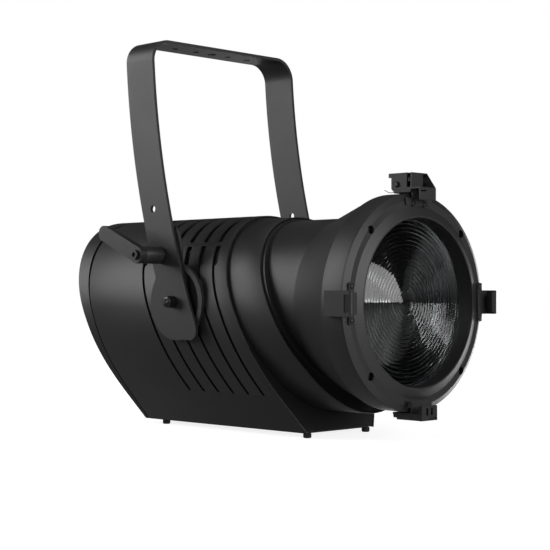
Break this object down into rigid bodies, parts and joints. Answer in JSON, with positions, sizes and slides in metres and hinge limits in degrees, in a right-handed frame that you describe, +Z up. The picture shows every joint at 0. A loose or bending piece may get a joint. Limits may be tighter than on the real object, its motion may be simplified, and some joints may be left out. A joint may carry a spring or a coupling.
{
  "type": "fresnel stage spotlight",
  "caption": "LED Fresnel stage spotlight: leaning horseshoe housing, flared front ring with frame clips and top latch, tilting yoke with brake lever, and motorised zoom.",
  "frame": {"origin": "middle of the lamp's bounding box, at the underside of the feet", "axes": "+Z up, -Y the way the light goes (the front ring faces -Y), +X to the right as seen from behind the lens looking back at the lamp's front; the brake lever is on -X"},
  "size_m": [0.314, 0.5486, 0.497],
  "materials": {
    "black_paint": "satin black powder coat with a very fine grain",
    "black_screw_steel": "black oxide, semi-gloss",
    "plain_steel": "ground steel",
    "bare_aluminium": "extruded, plain",
    "foot_rubber": "matt",
    "front_glass": "clear moulded glass",
    "inner_glass": "clear polished glass",
    "led_ceramic": "matt ceramic board with a yellow phosphor disc",
    "reflector_mirror": "polished",
    "black_plastic": "moulded, matt",
    "panel_plastic": "fine-textured membrane",
    "display_gloss": "dark glossy window",
    "button_rubber": "matt silicone"
  },
  "bodies": {
    "housing": {"base_pan": "black_paint", "bezel_screw_1": "black_screw_steel", "bezel_screw_2": "black_screw_steel", "bezel_screw_3": "black_screw_steel", "bezel_screw_4": "black_screw_steel", "brake_disc_left": "black_paint", "brake_disc_right": "black_paint", "bulkhead": "bare_aluminium", "clip_bottom": "black_paint", "clip_left": "black_paint", "clip_right": "black_paint", "control_panel": "panel_plastic", "data_in": "black_plastic", "data_out": "black_plastic", "display_window": "display_gloss", "fan_frame": "black_plastic", "foot_front_left": "foot_rubber", "foot_front_right": "foot_rubber", "foot_rear_left": "foot_rubber", "foot_rear_right": "foot_rubber", "fresnel_lens": "front_glass", "front_bell": "black_paint", "front_bezel": "black_paint", "front_plate": "black_paint", "guide_rod_left": "plain_steel", "guide_rod_right": "plain_steel", "heatsink": "bare_aluminium", "housing_shell": "black_paint", "latch_base": "black_paint", "latch_pin": "black_screw_steel", "led_board": "led_ceramic", "led_reflector": "reflector_mirror", "lens_retainer": "black_paint", "mid_plate": "black_paint", "mid_shell": "black_paint", "pivot_bolt_left": "black_screw_steel", "pivot_bolt_right": "black_screw_steel", "power_inlet": "black_plastic", "power_outlet": "black_plastic", "power_supply": "plain_steel", "rear_cover": "black_paint", "rod_ring": "black_paint", "zoom_motor": "black_plastic"},
    "yoke": {"yoke": "black_paint"},
    "clamp_lever": {"lever_barrel": "black_paint", "lever_handle": "black_paint", "lever_screw": "black_screw_steel", "lever_nut": "plain_steel"},
    "brake_shoe": {"brake_shoe": "black_paint"},
    "top_latch": {"top_latch": "black_paint"},
    "zoom_carriage": {"zoom_carriage": "black_paint", "zoom_lens": "inner_glass"},
    "lead_screw": {"lead_screw": "plain_steel"},
    "fan_rotor": {"fan_rotor": "black_plastic"},
    "button_menu": {"button_menu": "button_rubber"},
    "button_up": {"button_up": "button_rubber"},
    "button_down": {"button_down": "button_rubber"},
    "button_enter": {"button_enter": "button_rubber"}
  },
  "joints": [
    {"name": "yoke_tilt", "type": "hinge", "parent": "housing", "child": "yoke", "pos_m": [0.01445, 0.02726, 0.163], "axis": [1, 0, 0], "range_deg": [-95, 55]},
    {"name": "lever_turn", "type": "hinge", "parent": "yoke", "child": "clamp_lever", "pos_m": [-0.11355, 0.05126, 0.2215], "axis": [1, 0, 0], "range_deg": [-70, 0]},
    {"name": "shoe_release", "type": "slide", "parent": "yoke", "child": "brake_shoe", "axis": [0, 0, 1], "range_m": [0, 0.0015]},
    {"name": "latch_open", "type": "hinge", "parent": "housing", "child": "top_latch", "pos_m": [0.01445, -0.23974, 0.301], "axis": [1, 0, 0], "range_deg": [-60, 0], "stiffness_Nm_per_rad": 0.05, "springref_deg": 17.19},
    {"name": "zoom", "type": "slide", "parent": "housing", "child": "zoom_carriage", "axis": [0, 1, 0], "range_m": [-0.11, 0.02]},
    {"name": "screw_turn", "type": "hinge", "parent": "housing", "child": "lead_screw", "pos_m": [0.01445, -0.02074, 0.0719], "axis": [0, 1, 0], "continuous": true},
    {"name": "fan_spin", "type": "hinge", "parent": "housing", "child": "fan_rotor", "pos_m": [0.01445, 0.12126, 0.169], "axis": [0, 1, 0], "continuous": true},
    {"name": "press_menu", "type": "slide", "parent": "housing", "child": "button_menu", "axis": [0, -0.9187, 0.395], "range_m": [0, 0.0015], "stiffness_N_per_m": 300},
    {"name": "press_up", "type": "slide", "parent": "housing", "child": "button_up", "axis": [0, -0.9187, 0.395], "range_m": [0, 0.0015], "stiffness_N_per_m": 300},
    {"name": "press_down", "type": "slide", "parent": "housing", "child": "button_down", "axis": [0, -0.9187, 0.395], "range_m": [0, 0.0015], "stiffness_N_per_m": 300},
    {"name": "press_enter", "type": "slide", "parent": "housing", "child": "button_enter", "axis": [0, -0.9187, 0.395], "range_m": [0, 0.0015], "stiffness_N_per_m": 300}
  ],
  "couplings": [
    {"joint": "shoe_release", "follows": "lever_turn", "m_per_rad": -0.0012278},
    {"joint": "screw_turn", "follows": "zoom", "rad_per_m": 785.4}
  ]
}
